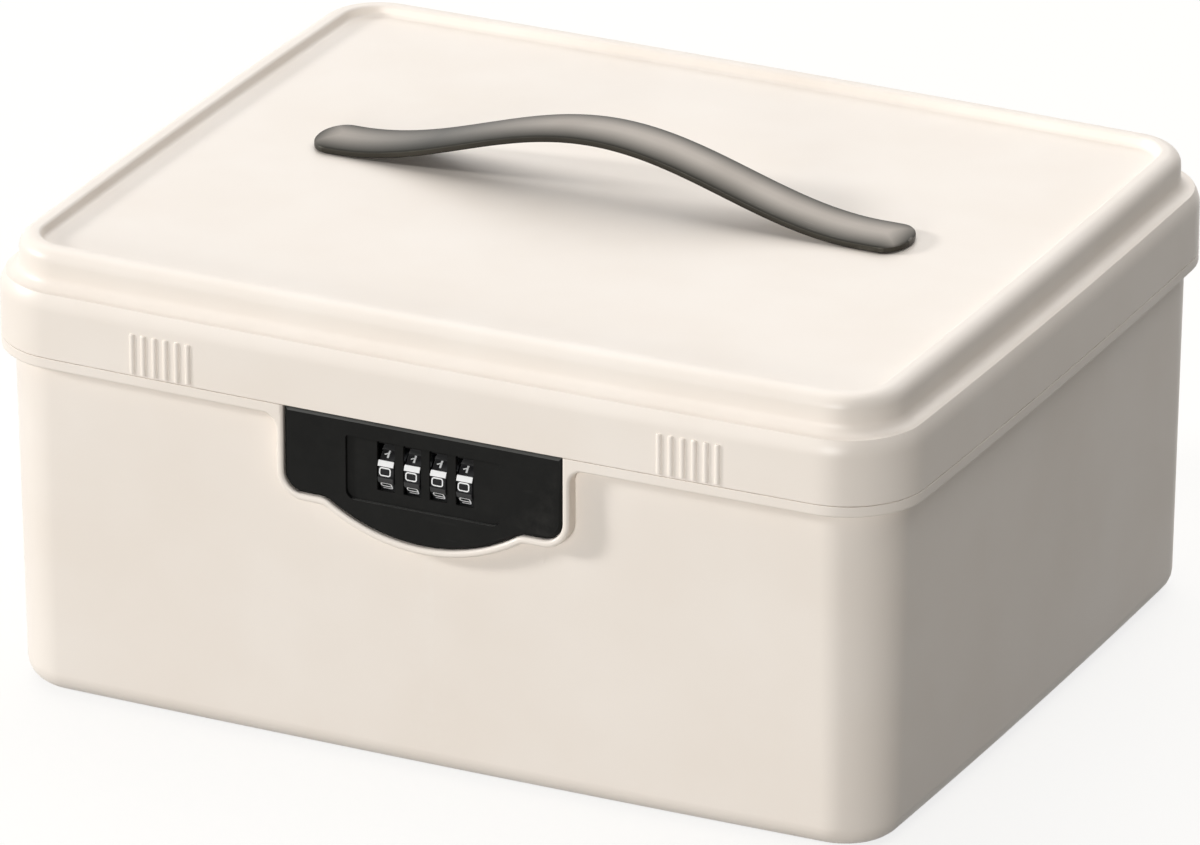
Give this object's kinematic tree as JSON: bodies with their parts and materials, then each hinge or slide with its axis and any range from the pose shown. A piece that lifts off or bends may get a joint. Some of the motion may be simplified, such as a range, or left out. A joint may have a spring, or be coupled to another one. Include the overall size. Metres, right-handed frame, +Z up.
{
  "type": "medication lock box",
  "caption": "Rounded storage box for medicines with a hinged stepped lid, a strap handle and a number-wheel combination lock on the front.",
  "frame": {"origin": "middle of the flat base, on the surface the box stands on", "axes": "+Z up, the lock faces -Y, the hinge is at +Y, +X to the right of someone facing the lock"},
  "size_m": [0.3238, 0.2719, 0.1731],
  "materials": {
    "cream_plastic": "fine satin moulded cream plastic",
    "black_plastic": "matt black moulded plastic",
    "wheel_plastic": "dark plastic with white bars and digits",
    "gunmetal": "satin gunmetal plating",
    "zinc": "plain die-cast metal",
    "steel": "plated steel"
  },
  "bodies": {
    "tub": {"tub_shell": "cream_plastic", "lock_fascia": "black_plastic", "dial_plate": "black_plastic", "lock_housing": "black_plastic", "lock_rear_cover": "black_plastic", "detent_spring": "steel", "wheel_axle": "steel", "hinge_pin_left": "steel", "cover_screw_left": "steel", "fascia_screw_left": "steel", "housing_screw_lower_left": "steel", "housing_screw_upper_left": "steel", "hinge_pin_right": "steel", "cover_screw_right": "steel", "fascia_screw_right": "steel", "housing_screw_lower_right": "steel", "housing_screw_upper_right": "steel"},
    "lid": {"lid_shell": "cream_plastic", "handle": "gunmetal", "lid_hook": "black_plastic", "handle_screw_left": "steel", "handle_washer_left": "steel", "hook_screw_left": "steel", "handle_screw_right": "steel", "handle_washer_right": "steel", "hook_screw_right": "steel"},
    "wheel_1": {"number_ring_1": "wheel_plastic", "wheel_cam_1": "zinc"},
    "wheel_2": {"number_ring_2": "wheel_plastic", "wheel_cam_2": "zinc"},
    "wheel_3": {"number_ring_3": "wheel_plastic", "wheel_cam_3": "zinc"},
    "wheel_4": {"number_ring_4": "wheel_plastic", "wheel_cam_4": "zinc"},
    "reset": {"reset_slide": "steel"}
  },
  "joints": [
    {"name": "lid_hinge", "type": "hinge", "parent": "tub", "child": "lid", "pos_m": [0, 0.13589, 0.1184], "axis": [-1, 0, 0], "range_deg": [0, 105]},
    {"name": "wheel_1_turn", "type": "hinge", "parent": "tub", "child": "wheel_1", "pos_m": [0, -0.1212, 0.1022], "axis": [1, 0, 0], "continuous": true},
    {"name": "wheel_2_turn", "type": "hinge", "parent": "tub", "child": "wheel_2", "pos_m": [0, -0.1212, 0.1022], "axis": [1, 0, 0], "continuous": true},
    {"name": "wheel_3_turn", "type": "hinge", "parent": "tub", "child": "wheel_3", "pos_m": [0, -0.1212, 0.1022], "axis": [1, 0, 0], "continuous": true},
    {"name": "wheel_4_turn", "type": "hinge", "parent": "tub", "child": "wheel_4", "pos_m": [0, -0.1212, 0.1022], "axis": [1, 0, 0], "continuous": true},
    {"name": "reset_slide_travel", "type": "slide", "parent": "tub", "child": "reset", "axis": [1, 0, 0], "range_m": [0, 0.006]}
  ]
}
